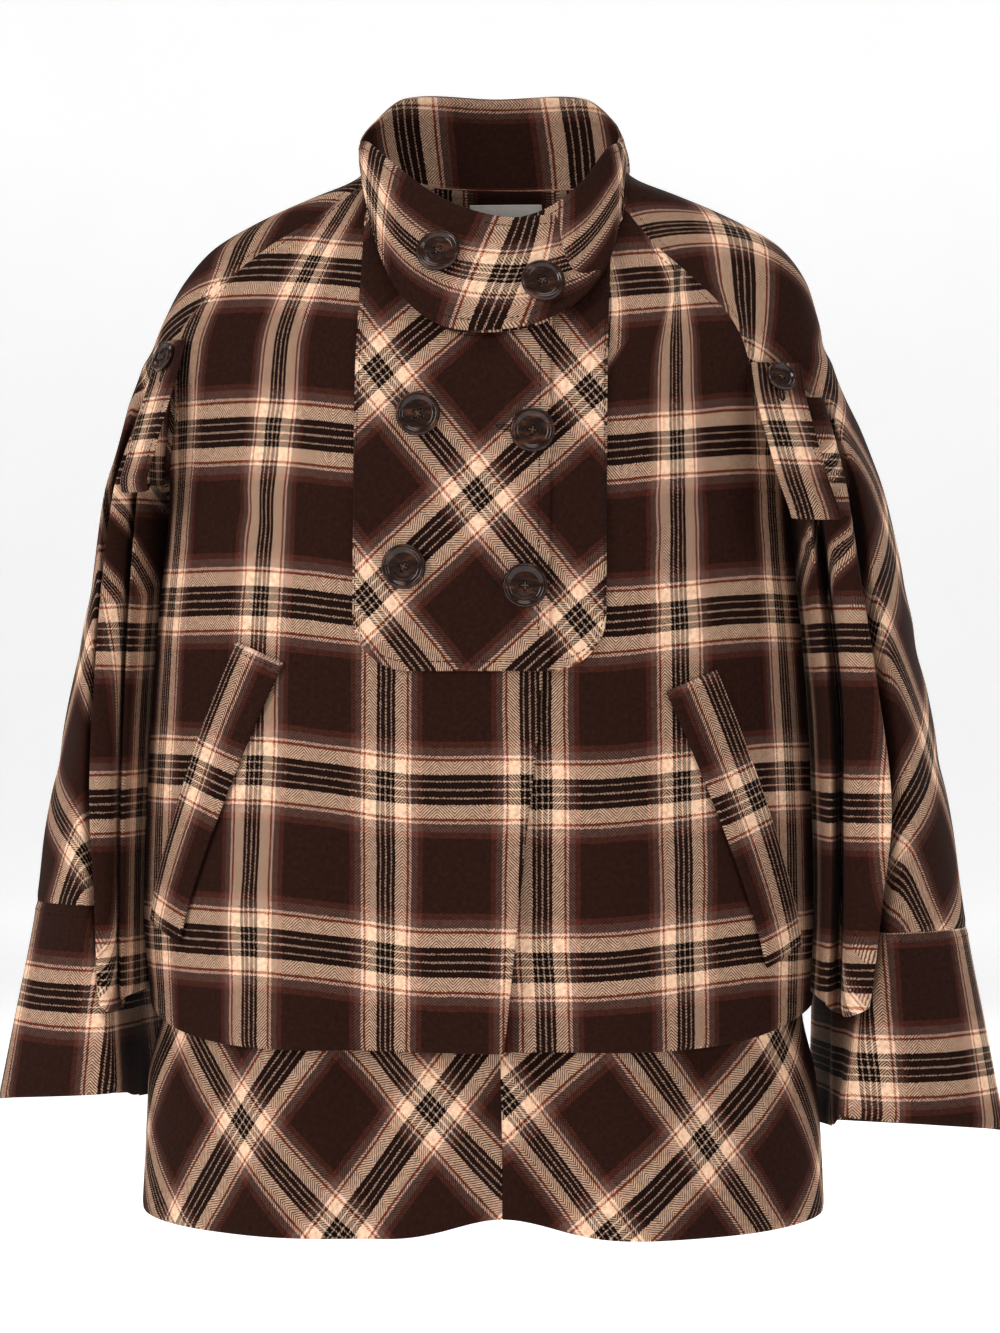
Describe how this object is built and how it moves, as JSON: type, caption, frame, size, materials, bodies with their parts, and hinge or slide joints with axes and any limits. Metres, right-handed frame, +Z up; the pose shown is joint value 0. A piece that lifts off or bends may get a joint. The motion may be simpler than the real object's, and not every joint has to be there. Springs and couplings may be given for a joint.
{
  "type": "cape coat",
  "caption": "Hip-length cape coat of checked wool, worn form: standing lapped collar, buttoned bib, raglan sleeves with flared cuffs, draped side folds and a lower tier.",
  "frame": {"origin": "the middle of the neck, where the coat rests on its wearer's shoulders", "axes": "+Z up, +Y to the back of the coat, +X to the wearer's left"},
  "size_m": [0.6555, 0.2939, 0.7347],
  "materials": {
    "wool_straight": "napped wool twill, checked, on the straight grain",
    "wool_bias": "napped wool twill, checked, on the bias",
    "label_tape": "woven satin tape",
    "horn": "semi-gloss, horn-like"
  },
  "bodies": {
    "root": {"front_right": "wool_straight", "front_left": "wool_straight", "back": "wool_straight", "bib_over": "wool_bias", "bib_under": "wool_bias", "collar": "wool_straight", "neck_label": "label_tape", "sleeve_right": "wool_straight", "sleeve_left": "wool_straight", "cuff_right": "wool_straight", "cuff_left": "wool_straight", "drape_right": "wool_straight", "drape_left": "wool_straight", "welt_right": "wool_straight", "welt_left": "wool_straight", "tab_right": "wool_straight", "tab_left": "wool_straight", "tier_right": "wool_bias", "tier_left": "wool_bias", "tier_back": "wool_bias", "button_collar_1": "horn", "button_collar_2": "horn", "button_bib_1": "horn", "button_bib_2": "horn", "button_bib_3": "horn", "button_bib_4": "horn", "button_tab_right": "horn", "button_tab_left": "horn"}
  },
  "joints": []
}
